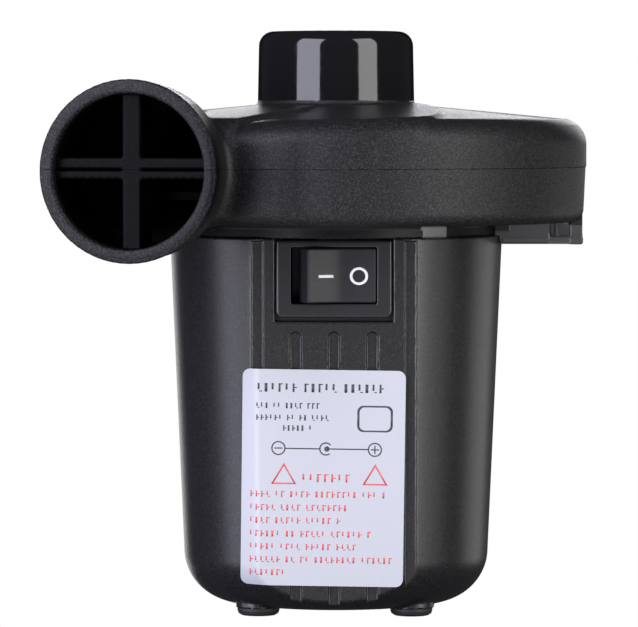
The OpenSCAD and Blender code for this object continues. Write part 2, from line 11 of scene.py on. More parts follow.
import bmesh
import bpy
import numpy as np
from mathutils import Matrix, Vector


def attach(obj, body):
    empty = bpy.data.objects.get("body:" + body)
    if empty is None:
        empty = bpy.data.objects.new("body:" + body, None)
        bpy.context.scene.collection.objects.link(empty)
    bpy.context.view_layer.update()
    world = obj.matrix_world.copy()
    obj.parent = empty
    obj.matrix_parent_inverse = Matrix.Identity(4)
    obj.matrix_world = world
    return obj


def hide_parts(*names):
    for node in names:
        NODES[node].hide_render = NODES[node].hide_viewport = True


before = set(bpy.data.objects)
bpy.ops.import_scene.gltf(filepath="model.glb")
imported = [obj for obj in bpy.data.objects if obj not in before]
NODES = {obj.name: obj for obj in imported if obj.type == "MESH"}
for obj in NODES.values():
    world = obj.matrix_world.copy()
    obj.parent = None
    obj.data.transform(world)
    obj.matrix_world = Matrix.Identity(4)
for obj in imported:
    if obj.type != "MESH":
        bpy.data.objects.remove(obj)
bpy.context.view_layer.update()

MM = 0.001
FLOOR_DROP = 100.0      # the frame's origin is this far above the floor, mm
scene = bpy.context.scene

# ---------------------------------------------------------------- dimensions, mm
WALL = 2.0

# scroll casing
SCROLL_X, SCROLL_Y, SCROLL_R = 1.6, 1.0, 45.8
SCROLL_BOTTOM, SEAM, ROOF = 73.25, 83.6, 95.35   # heights; the roof's is beside the neck
NECK_R, NECK_TOP = 14.7, 109.15
NECK_DRAFT, NECK_SHADING_DRAFT = 0.02, 0.05      # taper of the shape, taper its shading shows

# outlet pipe: lengths along it are measured from the foot of the perpendicular to the Z axis
YAW = math.radians(12.5)
PIPE_DIR = (-math.sin(YAW), -math.cos(YAW))      # towards the mouth
ACROSS_DIR = (math.cos(YAW), -math.sin(YAW))     # across the pipe, to the right
PIPE_OFFSET = 25.3
PIPE_START, PIPE_END, PIPE_START_R = 6, 55.0, 9.6
PIPE_Z = SEAM - 0.3
RIM_START, RIM_R = 45.7, 16.03
BORE_START, BORE_START_R = 7, 7.8
MOUTH_START, MOUTH_R = 44.5, 14.0

# motor housing: a cup that widens upwards
CUP_TOP, CUP_BOTTOM = 70.8, 1.4
CUP_TOP_R, CUP_BOTTOM_R = 31.45, 28.4
CUP_TAPER = (CUP_TOP_R - CUP_BOTTOM_R) / (CUP_TOP - CUP_BOTTOM)
CUP_EDGE = 9.3                                   # rounding round the bottom
PANEL_TILT, PANEL_Y, PANEL_Z = math.radians(2.8), -26.65, 41.0
FLUTE_PITCH, FLUTE_HALF = 7.05, 1.075
JACK_Z = 22.0
FEET = [(x, y) for x in (-14.3, 14.3) for y in (-14.3, 14.3)]
POST_RING = 25.3
HOUSING_POSTS = [(POST_RING * math.cos(math.radians(a)), POST_RING * math.sin(math.radians(a)))
                 for a in (40, 140, 215, 325)]

# screws of the scroll: angle in degrees and radius about the scroll's middle
SCREWS = [(SCROLL_X + r * math.cos(math.radians(a)), SCROLL_Y + r * math.sin(math.radians(a)))
          for a, r in ((0, 41.8), (82, 39.6), (158, 39.6), (286, 39.6))]

# switch
SWITCH_Z, PIVOT_Y, SWING = 63.95, -21.95, math.radians(12)


# ---------------------------------------------------------------- mesh tools
def link_object(name, data):
    ob = bpy.data.objects.new(name, data)
    scene.collection.objects.link(ob)
    return ob


def quad_object(name, points, quads):
    """Mesh object from floor millimetres (N, 3) and quads (M, 4)."""
    me = bpy.data.meshes.new(name)
    points = np.array(points, float)
    points[:, 2] -= FLOOR_DROP
    points *= MM
    quads = np.array(quads, np.int32)
    me.vertices.add(len(points))
    me.vertices.foreach_set("co", points.astype(np.float32).ravel())
    me.loops.add(quads.size)
    me.loops.foreach_set("vertex_index", quads.ravel())
    me.polygons.add(len(quads))
    me.polygons.foreach_set("loop_start", np.arange(0, quads.size, 4, dtype=np.int32))
    me.polygons.foreach_set("loop_total", np.full(len(quads), 4, np.int32))
    me.update(calc_edges=True)
    me.validate()
    return link_object(name, me)


def face_outward(ob):
    bm = bmesh.new()
    bm.from_mesh(ob.data)
    bmesh.ops.recalc_face_normals(bm, faces=bm.faces)
    bm.to_mesh(ob.data)
    bm.free()
    return ob


def sheet(rows, point, outer, inner):
    """Front and back points of a thin sheet; point(a, b, off) lays (a, b) on its ground."""
    return tuple(np.array([[point(a, b, off) for a, b in row] for row in rows])
                 for off in (outer, inner))


def sheets_object(name, sheets):
    """Closed thin sheets, each given as (front, back) arrays of (n, m, 3) floor mm."""
    points, faces = [], []
    base = 0
    for front, back in sheets:
        n, m = front.shape[:2]
        points += [front.reshape(-1, 3), back.reshape(-1, 3)]

        def fr(i, j):
            return base + i * m + j

        def bk(i, j):
            return base + n * m + i * m + j
        for i in range(n - 1):
            for j in range(m - 1):
                faces.append((fr(i, j), fr(i, j + 1), fr(i + 1, j + 1), fr(i + 1, j)))
                faces.append((bk(i, j), bk(i + 1, j), bk(i + 1, j + 1), bk(i, j + 1)))
        k = m - 1
        for i in range(n - 1):
            faces.append((fr(i, 0), fr(i + 1, 0), bk(i + 1, 0), bk(i, 0)))
            faces.append((fr(i, k), bk(i, k), bk(i + 1, k), fr(i + 1, k)))
        k = n - 1
        for j in range(m - 1):
            faces.append((fr(0, j), bk(0, j), bk(0, j + 1), fr(0, j + 1)))
            faces.append((fr(k, j), fr(k, j + 1), bk(k, j + 1), bk(k, j)))
        base += 2 * n * m
    return face_outward(quad_object(name, np.concatenate(points), faces))


def ring_object(name, front, back):
    """Closed thin ring: rows run round it, columns from its inner to its outer edge."""
    n, m = front.shape[:2]
    half = n * m
    faces = []
    for i in range(n):
        a, b = i * m, (i + 1) % n * m
        for k in range(m - 1):
            faces.append((a + k, a + k + 1, b + k + 1, b + k))
            faces.append((half + a + k, half + b + k, half + b + k + 1, half + a + k + 1))
        faces.append((a, b, half + b, half + a))
        a, b = a + m - 1, b + m - 1
        faces.append((a, half + a, half + b, b))
    points = np.concatenate([front.reshape(-1, 3), back.reshape(-1, 3)])
    return face_outward(quad_object(name, points, faces))


def hand_over(ob, node, rides="casing", replace=True):
    """Hide the CAD piece this mesh stands in for, when replace is set, and attach the mesh to the
    body it moves with.
    """
    if replace:
        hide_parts(node)
    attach(ob, rides)


# ---------------------------------------------------------------- signed distances
def dist(x, y):
    return np.sqrt(x * x + y * y)


def both(*parts):
    """Sharp intersection."""
    return reduce(np.maximum, parts)


def either(*parts):
    """Sharp union."""
    return reduce(np.minimum, parts)


def drill(body, *tool):
    """Sharp removal of the intersection of the tool's parts."""
    return both(body, -both(*tool))


def fuse(a, b, r):
    """Union with a round fillet of radius r."""
    return both(r, either(a, b)) - dist(both(r - a, 0.0), both(r - b, 0.0))


def trim(a, b, r):
    """Intersection with a rounded edge of radius r."""
    return either(-r, both(a, b)) + dist(both(r + a, 0.0), both(r + b, 0.0))


def carve(a, b, r):
    """a without b, with a rounded edge."""
    return trim(a, -b, r)


def box2(x, y, half_x, half_y, r=0.0):
    dx = np.abs(x) - half_x + r
    dy = np.abs(y) - half_y + r
    return dist(both(dx, 0), both(dy, 0)) + either(both(dx, dy), 0) - r


def box3(x, y, z, half_x, half_y, half_z, r=0.0):
    dx = np.abs(x) - half_x + r
    dy = np.abs(y) - half_y + r
    dz = np.abs(z) - half_z + r
    outside = np.sqrt(both(dx, 0) ** 2 + both(dy, 0) ** 2 + both(dz, 0) ** 2)
    return outside + either(both(dx, dy, dz), 0) - r


# ---------------------------------------------------------------- meshing a shape
def ticks(*parts):
    """Grid lines from (start, stop, step) runs."""
    out = []
    for start, stop, step in parts:
        n = max(1, int(round((stop - start) / step)))
        out += [start + (stop - start) * i / n for i in range(n)]
    return np.array(out + [parts[-1][1]])


def gradient(shape, points, reach=0.02):
    out = np.empty_like(points)
    for i in range(3):
        shift = np.zeros(3)
        shift[i] = reach
        a, b = points + shift, points - shift
        out[:, i] = (shape(*a.T) - shape(*b.T)) / (2 * reach)
    return out


def project(shape, points, cell):
    """Pull points on to the surface; those that stray too far from their cell go back."""
    start = points.copy()
    for _ in range(4):
        slope = gradient(shape, points)
        value = shape(*points.T)
        move = -value[:, None] * slope / np.maximum((slope * slope).sum(1), 0.2)[:, None]
        length = np.linalg.norm(move, axis=1)
        move *= np.minimum(1, 0.4 * cell / np.maximum(length, 1e-9))[:, None]
        points = points + move
    far = np.linalg.norm(points - start, axis=1) > 1.2 * cell
    points[far] = start[far]
    return points


def surface_nets(shape, *lines):
    """Points and quads on shape = 0 over the grid of x, y and z lines."""
    count = np.array([len(a) for a in lines])
    grid_x, grid_y = np.meshgrid(lines[0], lines[1], indexing="ij")
    value = np.empty(count, np.float32)
    for k in range(count[2]):
        value[:, :, k] = shape(grid_x, grid_y, np.full_like(grid_x, lines[2][k]))
    inside = value < 0

    # cells the surface passes through
    corners = np.zeros(count - 1, np.int8)
    for dx, dy, dz in np.ndindex(2, 2, 2):
        corners += inside[dx:count[0] - 1 + dx, dy:count[1] - 1 + dy, dz:count[2] - 1 + dz]
    active = (corners > 0) & (corners < 8)
    cells = np.argwhere(active)
    index = -np.ones(count - 1, np.int64)
    index[active] = np.arange(len(cells))

    # one point per cell: the mean of the crossings on its edges
    total = np.zeros((len(cells), 3))
    crossings = np.zeros(len(cells))
    for axis in range(3):
        others = [a for a in range(3) if a != axis]
        for i, j in np.ndindex(2, 2):
            low = cells.copy()
            low[:, others[0]] += i
            low[:, others[1]] += j
            high = low.copy()
            high[:, axis] += 1
            at_low = value[tuple(low.T)].astype(float)
            at_high = value[tuple(high.T)].astype(float)
            crossed = (at_low < 0) != (at_high < 0)
            part = np.where(crossed, at_low / np.where(crossed, at_low - at_high, 1), 0)
            point = np.stack([lines[d][low[:, d]] for d in range(3)], 1)
            point[:, axis] += part * (lines[axis][high[:, axis]] - lines[axis][low[:, axis]])
            total += point * crossed[:, None]
            crossings += crossed
    points = total / crossings[:, None]
    cell_size = np.stack([np.diff(lines[d])[cells[:, d]] for d in range(3)], 1).min(1)

    # one quad round each crossed grid edge, wound to face outwards
    quads = []
    for axis in range(3):
        o1, o2 = [a for a in range(3) if a != axis]
        first, second = [slice(None)] * 3, [slice(None)] * 3
        first[axis] = slice(0, count[axis] - 1)
        second[axis] = slice(1, count[axis])
        starts = inside[tuple(first)]
        edges = np.argwhere(starts != inside[tuple(second)])
        within = ((edges[:, o1] > 0) & (edges[:, o2] > 0)
                  & (edges[:, o1] < count[o1] - 1) & (edges[:, o2] < count[o2] - 1))
        edges = edges[within]
        keep = starts[tuple(edges.T)]
        if axis == 1:
            keep = ~keep
        quad = []
        for i, j in ((0, 0), (-1, 0), (-1, -1), (0, -1)):
            cell = edges.copy()
            cell[:, o1] += i
            cell[:, o2] += j
            quad.append(index[tuple(cell.T)])
        quad = np.stack(quad, 1)
        quad[~keep] = quad[~keep][:, ::-1]
        quads.append(quad)
    return project(shape, points, cell_size), np.concatenate(quads)


def read_vectors(items, field):
    out = np.empty(len(items) * 3, np.float32)
    items.foreach_get(field, out)
    return out.reshape(-1, 3)


def shape_normals(ob, shape, flat=None):
    """Normals taken from the shape; sharp corners, and points chosen by flat, keep the face's."""
    me = ob.data
    points = read_vectors(me.vertices, "co").astype(float) / MM
    points[:, 2] += FLOOR_DROP
    slope = gradient(shape, points, 0.03)
    length = np.linalg.norm(slope, axis=1)
    me.polygons.foreach_set("use_smooth", [True] * len(me.polygons))
    corner = np.empty(len(me.loops), np.int32)
    me.loops.foreach_get("vertex_index", corner)
    sides = np.empty(len(me.polygons), np.int32)
    me.polygons.foreach_get("loop_total", sides)
    face = np.repeat(read_vectors(me.polygons, "normal"), sides, axis=0)
    normal = (slope / np.maximum(length, 1e-9)[:, None])[corner]
    length = length[corner]
    bad = ((normal * face).sum(1) < 0.75) | (length < 0.7) | (length > 1.35)
    if flat is not None:
        bad |= flat(points)[corner]
    normal[bad] = face[bad]
    me.normals_split_custom_set([tuple(v) for v in normal])


def shape_object(name, shape, xs, ys, zs):
    ob = quad_object(name, *surface_nets(shape, xs, ys, zs))
    shape_normals(ob, shape)
    return ob


# ---------------------------------------------------------------- casing shape
def roof_steps(x, y):
    """Shallow steps in the roof either side of the front."""
    def ease(d):
        q = np.clip(d / 1.3 + 0.5, 0, 1)
        return q * q * (3 - 2 * q)

    # left: straight edge from the neck to the front rim, the roof falls away to its right
    start_x, start_y = -3.0, -15.0
    dir_x, dir_y = -0.53, -0.848
    side = (x - start_x) * -dir_y + (y - start_y) * dir_x
    along = (x - start_x) * dir_x + (y - start_y) * dir_y
    fade = np.clip((along + 1.0) / 6.0, 0, 1)
    low = -1.0 * ease(side) * np.exp(-both(side, 0) / 8.0) * fade
    # right: arc from the neck's side to the front rim, the roof inside it stands higher
    inside = 40.0 - dist(x + 20.0, y + 25.0)
    fade = np.clip((-y - 1.0) / 5.0, 0, 1) * np.clip((x - 4.0) / 6.0, 0, 1)
    return low + 0.60 * ease(inside) * np.exp(-both(inside, 0) / 7.0) * fade


def pipe_coords(x, y):
    """Distance along the outlet pipe, and to the right of its axis."""
    return (x * PIPE_DIR[0] + y * PIPE_DIR[1],
            x * ACROSS_DIR[0] + y * ACROSS_DIR[1] + PIPE_OFFSET)


# centre x, y, z; half sizes; edge rounding
LUG_PLATE = (36.2, 0, 69.82, 10.25, 7, 0.68, 0.3)
LUG_OUTER_WALL = (45.25, 0, 72.4, 1.15, 7, 3.2, 0.3)
LUG_BACK = (37.2, 6.2, 72.0, 8.6, 0.8, 2.6, 0.2)
LUG_FRONT_LOW = (33.1, -6.25, 70.6, 7.1, 0.75, 1.1, 0.2)
LUG_FRONT_HIGH = (36.4, -6.25, 72.2, 3.8, 0.75, 2.6, 0.2)
LUG_WEB = (41.65, -2.7, 72.2, 0.45, 3.6, 2.6, 0.15)


def lug(x, y, z):
    """Open tray under the scroll's right side, round the first screw."""
    def box(row):
        return box3(x - row[0], y - row[1], z - row[2], *row[3:])

    post = both(dist(x - SCREWS[0][0], y - SCREWS[0][1]) - 2.6, 69.6 - z, z - 76)
    body = fuse(fuse(box(LUG_PLATE), box(LUG_OUTER_WALL), 0.4), box(LUG_BACK), 0.3)
    body = fuse(body, either(box(LUG_FRONT_LOW), box(LUG_FRONT_HIGH)), 0.25)
    body = fuse(either(body, box(LUG_WEB)), post, 0.3)
    return both(body, np.where(z < CUP_TOP, 31.6, 29.0) - dist(x, y))


def mouth_ribs(z, along, across, off_axis):
    """Upright rib crossed by two level ones, set back from the mouth."""
    span = both(along - (PIPE_END - 2.4), MOUTH_START + 0.1 - along, off_axis - 14.3)
    upright = np.abs(across) - 1.8
    upper = np.abs(z - SEAM - 1.18) - 1.02
    lower = np.abs(z - SEAM + 0.95) - 0.8
    return trim(either(fuse(upright, upper, 0.4), fuse(upright, lower, 0.4)), span, 0.45)


def intake_grille(x, y, z, radius):
    """Ring, hub and three bars across the neck."""
    plan = either(np.abs(radius - 6.9) - 0.7, radius - 3.0)
    for k in range(3):
        a = math.radians(60 * k)
        plan = either(plan, np.abs(x * math.sin(a) - y * math.cos(a)) - 0.8)
    return trim(both(plan, radius - 11.3), np.abs(z - 98.9) - 0.9, 0.35)


def casing(x, y, z, neck_draft=NECK_DRAFT):
    off_scroll = dist(x - SCROLL_X, y - SCROLL_Y)
    radius = dist(x, y)
    along, across = pipe_coords(x, y)
    off_pipe = dist(across, z - PIPE_Z)

    # scroll: the lower half is set in slightly and tapers down
    side = off_scroll - np.where(z > SEAM, SCROLL_R, SCROLL_R - 0.15 - (SEAM - z) * 0.045)
    roof = (z - (ROOF - 0.095 * (radius - NECK_R)) - roof_steps(x, y)) * 0.995
    body = trim(trim(side, roof, 4.2), SCROLL_BOTTOM - z, 2.3)
    # collar below it
    body = fuse(body, both(radius - 30.2, CUP_TOP - z, z - 76), 0.8)
    # outlet pipe, widening to the mouth; its fillet is larger at mid height
    pipe = (off_pipe - (PIPE_START_R + (along - PIPE_START) * 5.65 / 39.5)) * 0.99
    pipe = trim(pipe, both(along - PIPE_END, PIPE_START - along), 0.4)
    fillet = 0.7 + 2.5 * np.clip((91.5 - z) / 4.0, 0, 1) * np.clip((z - 71.0) / 4.0, 0, 1)
    body = fuse(body, pipe, fillet)
    rim = trim(off_pipe - RIM_R, both(along - PIPE_END, RIM_START - along), 0.8)
    body = fuse(body, rim, 0.5)
    # neck
    neck = trim(radius - NECK_R - (100.9 - z) * neck_draft, z - NECK_TOP, 2.7)
    body = fuse(body, both(neck, 90 - z), 0.7)
    body = either(body, lug(x, y, z))
    # hollow: fan chamber, bore of the pipe, intake
    chamber = trim(trim(off_scroll - (SCROLL_R - WALL), roof + WALL, 1.5),
                   SCROLL_BOTTOM + WALL - z, 1.0)
    bore_r = np.where(along > MOUTH_START, MOUTH_R,
                      BORE_START_R + (along - BORE_START) * (MOUTH_R - BORE_START_R)
                      / (MOUTH_START - BORE_START))
    bore = both((off_pipe - bore_r) * 0.99, BORE_START - along)
    body = carve(body, either(chamber, bore), 0.6)
    body = carve(body, both(radius - 11.0, 88 - z), 0.9)
    body = fuse(body, mouth_ribs(z, along, across, off_pipe), 0.4)
    body = either(body, intake_grille(x, y, z, radius))
    # screw posts, each with a thread hole and a wider hole from below
    for i, (px, py) in enumerate(SCREWS):
        off_post = dist(x - px, y - py)
        post_top, recess_top = (90.6, 70.6) if i == 0 else (92.0, 75.0)
        body = either(body, both(off_post - 3.0, z - post_top, 75 - z))
        body = drill(body, off_post - 1.25, z - 90.0)
        body = drill(body, off_post - 2.4, z - recess_top)
    # central opening, then room for the housing, its posts and the switch
    body = drill(body, radius - 5.1, z - 80)
    body = drill(body, radius - 27.0, z - SCROLL_BOTTOM)
    for px, py in HOUSING_POSTS:
        body = drill(body, dist(x - px, y - py) - 3.1, z - SCROLL_BOTTOM)
    return body


# ---------------------------------------------------------------- housing shape
def cup_r(z):
    return CUP_BOTTOM_R + CUP_TAPER * (z - CUP_BOTTOM)


def panel_y(z):
    return PANEL_Y - (z - PANEL_Z) * math.tan(PANEL_TILT)


def flute(x, z, i):
    """Upright groove; the outermost two run higher and end square."""
    off_line = np.abs(x - i * FLUTE_PITCH)
    if abs(i) == 2:
        return both(off_line - FLUTE_HALF, z - 68.85 - 1.4)
    top = 52.5
    return np.where(z < top, off_line, dist(off_line, z - top)) - FLUTE_HALF


def housing(x, y, z):
    radius = dist(x, y)
    cup = trim(radius - cup_r(z), CUP_BOTTOM - z, CUP_EDGE)
    before_panel = -(y - panel_y(z)) * math.cos(PANEL_TILT)
    body = trim(trim(cup, before_panel, 0.35), z - CUP_TOP, 0.3)
    # pads behind the feet and, at the back, for the supply jack
    for px, py in FEET:
        body = fuse(body, both(dist(x - px, y - py) - 4.2, np.abs(z - 3.4) - 2.0), 0.3)
    off_jack = dist(x, z - JACK_Z)
    body = fuse(body, trim(off_jack - 8.0, np.abs(y - 28.5) - 2.5, 0.4), 0.5)
    # hollow
    inner = trim(radius - cup_r(z) + WALL, CUP_BOTTOM + WALL - z, 6.0)
    body = drill(body, trim(inner, before_panel + 2.9, 1.0))
    # drilled posts, tied to the wall by short webs
    for px, py in HOUSING_POSTS:
        off_post = dist(x - px, y - py)
        outward = (x * px + y * py) / POST_RING
        sideways = (x * -py + y * px) / POST_RING
        web = both(box2(outward - 27.3, sideways, 2.0, 1.0), np.abs(z - 60.7) - 6.0)
        body = either(body, both(off_post - 2.8, 54.8 - z, z - 73.2), web)
        body = drill(body, off_post - 1.2, 56.8 - z)
    for px, py in FEET:
        body = drill(body, dist(x - px, y - py) - 1.6, z - 11)
    body = carve(body, both(off_jack - 4.1, 20 - y), 0.3)
    for i in range(-2, 3):
        groove = trim(flute(x, z, i), -before_panel - 0.8, 0.25)
        body = carve(body, both(groove, before_panel - 8), 0.2)
    # switch pocket and the opening in its floor
    body = carve(body, both(np.abs(x) - 10.9, 55.45 - z, y + 26.0), 0.25)
    return drill(body, np.abs(x) - 9.6, 57.65 - z, y + 12)


# ---------------------------------------------------------------- switch shapes
def bezel(x, y, z):
    up = z - SWITCH_Z
    # front plate, its lower corners rounded
    plate = np.where(up < -3, box2(x, up + 0.65, 10.65, 7.1, 1.3),
                     box2(x, up + 0.65, 10.65, 7.1))
    plate = both(trim(plate, -27.9 - y, 0.45), y + 26.02)
    body = either(plate, box3(x, y + 21.6, up, 9.4, 4.5, 6.1, 0.2))
    # well for the rocker, pivot hole, two slots in the well's floor
    body = carve(body, both(box2(x, up, 7.9, 5.2, 0.3), y + 18.1), 0.22)
    body = drill(body, dist(x, y - PIVOT_Y) - 1.05, np.abs(up) - 5.75)
    body = drill(body, box3(x, y + 17.5, up, 0.25, 1.5, 2.3))
    return drill(body, box3(x - 5.5, y + 17.5, up, 0.3, 1.5, 2.3))


def rocker_face(u):
    """Front of the rocker: two flat wings meeting in a shallow valley."""
    return -5.6 - 0.25 * np.sqrt(u * u + 2.2)


def rocker(x, y, z):
    # the rocker's own frame: u to the right, v to the back, about the pivot
    c, s = math.cos(SWING), math.sin(SWING)
    dy = y - PIVOT_Y
    u, v = c * x + s * dy, -s * x + c * dy
    up = z - SWITCH_Z
    wide = np.abs(u)
    face = (rocker_face(u) - v) * 0.97
    body = trim(face, wide - 6.4 - 0.55 * np.clip((v + 7.2) / 3.2, 0, 1), 0.35)
    body = trim(both(body, v + 1.6), np.abs(up) - 5.0, 0.35)
    stem = both(wide - 1.7, v - 1.3, -3 - v, np.abs(up) - 5.0)
    pin = both(dist(u, v) - 1.0, np.abs(up) - 5.6)
    body = either(body, stem, pin)
    return drill(body, dist(u, up) - 0.85, -4 - v, v - 4)


# ---------------------------------------------------------------- materials
MATERIALS = {}


def material(name, color, rough, metal=0.0, spec=0.5, bump=0.0, scale=2600.0, vary=0.0,
             speck=0.0, dim_edge=None, glow=0.0):
    """Procedural material with fine moulded grain from noise in object space.

    bump: grain height in mm; scale: grain frequency; vary: swing of the roughness;
    speck: brightness added by light grains; dim_edge: facing range over which the
    outline turns matt; glow: strength of a painted glow, emission that lightens a part as if lit.
    """
    m = bpy.data.materials.new(name)
    MATERIALS[name] = m
    m.use_nodes = True
    tree = m.node_tree
    link = tree.links.new
    shader = tree.nodes["Principled BSDF"]
    shader.inputs["Base Color"].default_value = (*color, 1)
    shader.inputs["Roughness"].default_value = rough
    shader.inputs["Metallic"].default_value = metal
    shader.inputs["Specular IOR Level"].default_value = spec
    shader.inputs["Coat Roughness"].default_value = 0.08

    def node(kind, **values):
        """New node; underscores in the names of its inputs stand for spaces."""
        new = tree.nodes.new(kind)
        for key, value in values.items():
            new.inputs[key.replace("_", " ")].default_value = value
        return new

    if glow:
        # painted glow: faint emission that lightens the part as if lit
        shader.inputs["Emission Color"].default_value = (0.97, 0.97, 1.0, 1)
        shader.inputs["Emission Strength"].default_value = glow
    if bump:
        coords = node("ShaderNodeTexCoord")
        noise = node("ShaderNodeTexNoise", Scale=scale, Detail=3.0, Roughness=0.6)
        link(coords.outputs["Object"], noise.inputs["Vector"])
        relief = node("ShaderNodeBump", Strength=1.0, Distance=bump * MM)
        link(noise.outputs["Fac"], relief.inputs["Height"])
        link(relief.outputs["Normal"], shader.inputs["Normal"])
    if vary:
        swing = node("ShaderNodeMapRange", From_Min=0.3, From_Max=0.7,
                     To_Min=max(0.02, rough - vary), To_Max=min(1.0, rough + vary))
        link(noise.outputs["Fac"], swing.inputs["Value"])
        link(swing.outputs["Result"], shader.inputs["Roughness"])
    if speck:
        grains = node("ShaderNodeTexNoise", Scale=3300.0, Detail=1.0)
        link(coords.outputs["Object"], grains.inputs["Vector"])
        spread = node("ShaderNodeMapRange", From_Min=0.46, From_Max=0.72)
        link(grains.outputs["Fac"], spread.inputs["Value"])
        mix = tree.nodes.new("ShaderNodeMix")
        mix.data_type = "RGBA"
        mix.inputs["A"].default_value = (*color, 1)
        mix.inputs["B"].default_value = (*[c + speck for c in color], 1)
        link(spread.outputs["Result"], mix.inputs["Factor"])
        link(mix.outputs["Result"], shader.inputs["Base Color"])
    if dim_edge:
        # the outline stays dark at a grazing view
        facing = node("ShaderNodeLayerWeight", Blend=0.5)
        fade = node("ShaderNodeMapRange", From_Min=dim_edge[0], From_Max=dim_edge[1])
        link(facing.outputs["Facing"], fade.inputs["Value"])
        matt = node("ShaderNodeBsdfDiffuse", Color=(*color, 1))
        mix = tree.nodes.new("ShaderNodeMixShader")
        link(fade.outputs["Result"], mix.inputs[0])
        link(shader.outputs[0], mix.inputs[1])
        link(matt.outputs[0], mix.inputs[2])
        link(mix.outputs[0], tree.nodes["Material Output"].inputs["Surface"])
    return m


# black plastics of the casing and housing
material("black_grained", (0.0052, 0.0052, 0.0062), rough=0.50, spec=0.27, bump=0.030,
         scale=2700, vary=0.12, speck=0.022)
material("black_roof", (0.0052, 0.0052, 0.0062), rough=0.41, spec=0.40, bump=0.022,
         scale=2700, vary=0.12, speck=0.022, dim_edge=(0.958, 0.985))
material("black_rim", (0.0050, 0.0050, 0.0060), rough=0.48, spec=0.19, bump=0.030,
         scale=2700, vary=0.12, speck=0.026)
material("black_fine_grained", (0.0078, 0.0078, 0.0090), rough=0.32, spec=0.47, bump=0.007,
         vary=0.06, speck=0.016)
# painted shade: a darker, duller copy of the black plastic for inside the outlet's mouth and its
# ribs
material("duct_painted_shade", (0.0016, 0.0016, 0.0020), rough=0.42, spec=0.05, bump=0.008,
         scale=2000, vary=0.08)
material("black_gloss", (0.0065, 0.0065, 0.0075), rough=0.075, bump=0.0035, scale=420,
         vary=0.03, dim_edge=(0.62, 0.76))
material("black_collar", (0.0060, 0.0060, 0.0070), rough=0.42, spec=0.20, bump=0.006,
         vary=0.06)
# painted highlight: a lighter, faintly glowing finish that stands in for a lamp's reflection on
# the collar and on the lug's post
material("highlight_painted_glow", (0.075, 0.076, 0.078), rough=0.22, spec=0.6, bump=0.0006,
         scale=900, glow=0.045)
# painted light: a lighter base and a faint glow brighten the shaded lug under the scroll
material("lug_painted_glow", (0.038, 0.038, 0.041), rough=0.34, bump=0.004, vary=0.05, glow=0.016)
# switch and label
material("black_satin", (0.015, 0.0155, 0.0175), rough=0.32, bump=0.0015, scale=900)
material("rocker_grained", (0.016, 0.016, 0.018), rough=0.48, spec=0.33, bump=0.010,
         scale=3600, vary=0.08)
material("mark_white", (0.82, 0.82, 0.84), rough=0.45, bump=0.0005)
material("label_sheet", (0.435, 0.445, 0.482), rough=0.36, bump=0.0008, scale=500)
material("print_dark", (0.045, 0.045, 0.055), rough=0.45, bump=0.0003)
material("print_red", (0.62, 0.09, 0.09), rough=0.45, bump=0.0003)
# small and inner parts
material("rubber", (0.010, 0.010, 0.011), rough=0.62, bump=0.006, scale=1800, vary=0.1)
material("screw_steel", (0.42, 0.42, 0.43), rough=0.32, metal=1.0, bump=0.001, vary=0.08)
material("nickel", (0.72, 0.70, 0.67), rough=0.18, metal=1.0, bump=0.0005, vary=0.05)
material("brass", (0.75, 0.56, 0.25), rough=0.28, metal=1.0, bump=0.001, vary=0.08)
material("zinc_steel", (0.62, 0.63, 0.64), rough=0.34, metal=1.0, bump=0.002, scale=700,
         vary=0.08)
material("ferrite", (0.05, 0.05, 0.055), rough=0.6, bump=0.004)
material("white_plastic", (0.74, 0.74, 0.70), rough=0.35, bump=0.001)
material("fan_plastic", (0.012, 0.012, 0.013), rough=0.4, bump=0.002)
material("bronze", (0.50, 0.33, 0.16), rough=0.45, metal=1.0, bump=0.003, vary=0.1)
material("carbon", (0.03, 0.03, 0.03), rough=0.5, bump=0.004)
material("capacitor", (0.50, 0.22, 0.06), rough=0.3, bump=0.002, scale=400)
material("shaft_steel", (0.66, 0.66, 0.67), rough=0.16, metal=1.0, bump=0.0006, vary=0.05)
material("lamination", (0.34, 0.34, 0.36), rough=0.45, metal=1.0, bump=0.004, vary=0.1)
material("copper", (0.75, 0.34, 0.16), rough=0.30, metal=1.0, bump=0.003, vary=0.08)
material("phenolic", (0.16, 0.045, 0.03), rough=0.5, bump=0.003)
material("wire_red", (0.50, 0.02, 0.02), rough=0.35, bump=0.001)
material("wire_black", (0.012, 0.012, 0.012), rough=0.35, bump=0.001)

# material: the CAD pieces made of it
PIECES = {
    "rubber": "foot_pads",
    "screw_steel": "scroll_screws housing_screws motor_screws",
    "nickel": "switch_plunger switch_spring jack_nut jack_sleeve jack_pin jack_tags",
    "brass": "switch_contact switch_pivot_terminal switch_fixed_terminal brush_springs "
             "motor_tags fan_hub_insert",
    "black_satin": "jack_body switch_body",
    "zinc_steel": "motor_can",
    "ferrite": "motor_magnets",
    "white_plastic": "motor_end_cap thrust_washers",
    "bronze": "front_bush rear_bush",
    "carbon": "brush_carbons",
    "capacitor": "noise_capacitor",
    "shaft_steel": "motor_shaft",
    "lamination": "armature_core",
    "copper": "armature_coils commutator_bars",
    "phenolic": "commutator_base",
    "fan_plastic": "fan_wheel",
    "wire_red": "wire_switch wire_motor",
    "wire_black": "wire_return",
    "black_grained": "upper_scroll lower_scroll motor_housing",
    "label_sheet": "rating_label",
    "rocker_grained": "switch_rocker",
}
PIECE_MATERIAL = {piece: key for key, pieces in PIECES.items() for piece in pieces.split()}

# width of the eased edges of CAD pieces, mm
EDGE_WIDTHS = {"foot_pads": 0.25, "motor_can": 0.3, "jack_body": 0.2, "jack_sleeve": 0.08,
               "scroll_screws": 0.12, "fan_wheel": 0.15, "motor_end_cap": 0.15}


def paint(ob, *names):
    ob.data.materials.clear()
    for name in names:
        ob.data.materials.append(MATERIALS[name])


